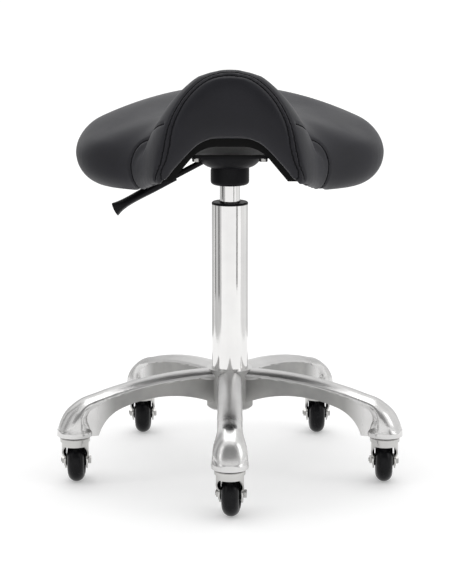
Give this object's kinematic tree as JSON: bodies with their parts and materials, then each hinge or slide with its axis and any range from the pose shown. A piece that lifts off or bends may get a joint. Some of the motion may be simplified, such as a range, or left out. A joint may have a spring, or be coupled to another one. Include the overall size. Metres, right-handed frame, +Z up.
{
  "type": "saddle stool",
  "caption": "Height-adjustable saddle stool: padded saddle seat with a release lever on a gas lift column, polished star base on swivel castors.",
  "frame": {"origin": "on the floor, on the axis of the column", "axes": "+Z up along the column; -Y is the front, where the pommel of the saddle looks; the release lever is on the -X side"},
  "size_m": [0.4732, 0.4779, 0.5776],
  "materials": {
    "polished_aluminium": "polished",
    "chrome": "bright",
    "bright_steel": "zinc plated",
    "black_steel": "semi-gloss powder coat",
    "black_plastic": "fine grain",
    "wheel_plastic": "smooth",
    "tyre": "smooth",
    "buffer_rubber": "matt",
    "bush_plastic": "smooth",
    "pan_plastic": "moulded",
    "cover": "soft satin grain"
  },
  "bodies": {
    "base": {"base_casting": "polished_aluminium", "castor_stems": "bright_steel", "castor_grip_rings": "bright_steel", "castor_race_caps": "chrome", "castor_balls": "bright_steel", "castor_dust_washers": "black_plastic", "column_tube": "chrome", "guide_bush": "bush_plastic", "thrust_washer_lower": "bright_steel", "thrust_balls": "bright_steel"},
    "swivel": {"thrust_washer_upper": "bright_steel", "rubber_buffer": "buffer_rubber", "piston_rod": "chrome", "piston": "polished_aluminium", "retaining_clip": "bright_steel", "end_washer": "bright_steel"},
    "seat": {"gas_cylinder": "chrome", "cylinder_gland": "polished_aluminium", "bell_cover": "black_plastic", "taper_socket": "black_steel", "mounting_plate": "black_steel", "lever_pin": "bright_steel", "seat_bolts": "bright_steel", "bolt_washers": "bright_steel", "tee_nuts": "bright_steel", "seat_pan": "pan_plastic", "seat_cushion": "cover"},
    "lever": {"lever_rod": "black_steel", "lever_paddle": "black_plastic"},
    "button": {"release_button": "bright_steel"},
    "castor_1": {"castor_fork_1": "chrome", "castor_axle_1": "bright_steel", "castor_sleeve_1": "bright_steel"},
    "wheel_1": {"wheel_core_1": "wheel_plastic", "tyre_1": "tyre"},
    "castor_2": {"castor_fork_2": "chrome", "castor_axle_2": "bright_steel", "castor_sleeve_2": "bright_steel"},
    "wheel_2": {"wheel_core_2": "wheel_plastic", "tyre_2": "tyre"},
    "castor_3": {"castor_fork_3": "chrome", "castor_axle_3": "bright_steel", "castor_sleeve_3": "bright_steel"},
    "wheel_3": {"wheel_core_3": "wheel_plastic", "tyre_3": "tyre"},
    "castor_4": {"castor_fork_4": "chrome", "castor_axle_4": "bright_steel", "castor_sleeve_4": "bright_steel"},
    "wheel_4": {"wheel_core_4": "wheel_plastic", "tyre_4": "tyre"},
    "castor_5": {"castor_fork_5": "chrome", "castor_axle_5": "bright_steel", "castor_sleeve_5": "bright_steel"},
    "wheel_5": {"wheel_core_5": "wheel_plastic", "tyre_5": "tyre"}
  },
  "joints": [
    {"name": "seat_swivel", "type": "hinge", "parent": "base", "child": "swivel", "pos_m": [0, 0, 0.096], "axis": [0, 0, 1], "continuous": true},
    {"name": "seat_lift", "type": "slide", "parent": "swivel", "child": "seat", "axis": [0, 0, 1], "range_m": [0, 0.19]},
    {"name": "lever_tilt", "type": "hinge", "parent": "seat", "child": "lever", "pos_m": [-0.026, 0, 0.4445], "axis": [0, 1, 0], "range_deg": [0, 6], "stiffness_Nm_per_rad": 1},
    {"name": "button_press", "type": "slide", "parent": "seat", "child": "button", "axis": [0, 0, -1], "range_m": [0, 0.0028]},
    {"name": "castor_swivel_1", "type": "hinge", "parent": "base", "child": "castor_1", "pos_m": [0, -0.223, 0.0634], "axis": [0, 0, 1], "continuous": true},
    {"name": "wheel_roll_1", "type": "hinge", "parent": "castor_1", "child": "wheel_1", "pos_m": [0.00209, -0.20311, 0.03], "axis": [0.9945, -0.1045, 0], "continuous": true},
    {"name": "castor_swivel_2", "type": "hinge", "parent": "base", "child": "castor_2", "pos_m": [0.21209, -0.06891, 0.0634], "axis": [0, 0, 1], "continuous": true},
    {"name": "wheel_roll_2", "type": "hinge", "parent": "castor_2", "child": "wheel_2", "pos_m": [0.21313, -0.04894, 0.03], "axis": [0.9986, -0.0523, 0], "continuous": true},
    {"name": "castor_swivel_3", "type": "hinge", "parent": "base", "child": "castor_3", "pos_m": [0.13108, 0.18041, 0.0634], "axis": [0, 0, 1], "continuous": true},
    {"name": "wheel_roll_3", "type": "hinge", "parent": "castor_3", "child": "wheel_3", "pos_m": [0.13108, 0.20041, 0.03], "axis": [1, 0, 0], "continuous": true},
    {"name": "castor_swivel_4", "type": "hinge", "parent": "base", "child": "castor_4", "pos_m": [-0.13108, 0.18041, 0.0634], "axis": [0, 0, 1], "continuous": true},
    {"name": "wheel_roll_4", "type": "hinge", "parent": "castor_4", "child": "wheel_4", "pos_m": [-0.13108, 0.20041, 0.03], "axis": [1, 0, 0], "continuous": true},
    {"name": "castor_swivel_5", "type": "hinge", "parent": "base", "child": "castor_5", "pos_m": [-0.21209, -0.06891, 0.0634], "axis": [0, 0, 1], "continuous": true},
    {"name": "wheel_roll_5", "type": "hinge", "parent": "castor_5", "child": "wheel_5", "pos_m": [-0.21209, -0.04891, 0.03], "axis": [1, 0, 0], "continuous": true}
  ],
  "couplings": [
    {"joint": "button_press", "follows": "lever_tilt", "m_per_rad": 0.026}
  ]
}
